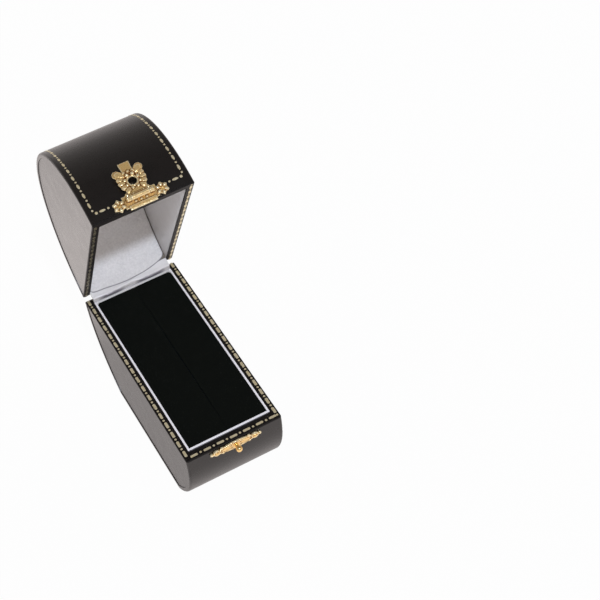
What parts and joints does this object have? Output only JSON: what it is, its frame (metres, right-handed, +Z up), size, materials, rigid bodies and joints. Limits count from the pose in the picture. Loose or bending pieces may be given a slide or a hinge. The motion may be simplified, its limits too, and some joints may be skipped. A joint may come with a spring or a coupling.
{
  "type": "bangle box",
  "caption": "Drum-shaped leather-covered jewellery box standing on a flat foot, with a hinged satin-lined lid, a slit velvet pad and a brass hasp over a ball stud.",
  "frame": {"origin": "centre of the flat underside, between the two cheeks and below the drum's axis", "axes": "+Z up, -Y towards the front with the catch, X along the width; the hinge lies at the rear, parallel to X"},
  "size_m": [0.036, 0.11, 0.1189],
  "materials": {
    "leather": "black pebbled leatherette, soft sheen",
    "board": "thin bent beech board, covered",
    "satin": "white satin",
    "velvet": "black velvet",
    "foam": "soft grey foam",
    "liner_card": "white covered card",
    "sole_paper": "black lining paper",
    "brass": "pressed bright brass"
  },
  "bodies": {
    "base": {"base_floor_board": "board", "base_front_board": "board", "base_rear_board": "board", "base_cheek_board_left": "board", "base_cheek_board_right": "board", "base_leather_cover": "leather", "base_cheek_leather_left": "leather", "base_cheek_leather_right": "leather", "base_rim_leather": "leather", "base_sole": "sole_paper", "liner_card_left": "liner_card", "liner_card_right": "liner_card", "liner_card_front": "liner_card", "liner_card_rear": "liner_card", "foam_block_left": "foam", "foam_block_right": "foam", "velvet_pad_left": "velvet", "velvet_pad_right": "velvet", "catch_plate": "brass", "catch_stud": "brass", "catch_plate_tacks": "brass", "base_hinge_leaf": "brass", "base_hinge_nails": "brass", "hinge_rod": "brass", "satin_hinge_strip": "satin"},
    "lid": {"lid_round_board": "board", "lid_cheek_board_left": "board", "lid_cheek_board_right": "board", "lid_leather_cover": "leather", "lid_cheek_leather_left": "leather", "lid_cheek_leather_right": "leather", "lid_rim_leather": "leather", "lid_lining_round": "satin", "lid_lining_left": "satin", "lid_lining_right": "satin", "lid_hinge_leaf": "brass", "lid_hinge_nails": "brass", "hasp_plate": "brass", "hasp_plate_tacks": "brass", "hasp_rod": "brass"},
    "hasp": {"hasp_flap": "brass"}
  },
  "joints": [
    {"name": "lid_hinge", "type": "hinge", "parent": "base", "child": "lid", "pos_m": [0, 0.04325, 0.037], "axis": [1, 0, 0], "range_deg": [0, 60], "deforming": ["satin_hinge_strip"]},
    {"name": "hasp_hinge", "type": "hinge", "parent": "lid", "child": "hasp", "pos_m": [0, 0.00217, 0.11475], "axis": [1, 0, 0], "range_deg": [0, 192.5]}
  ]
}
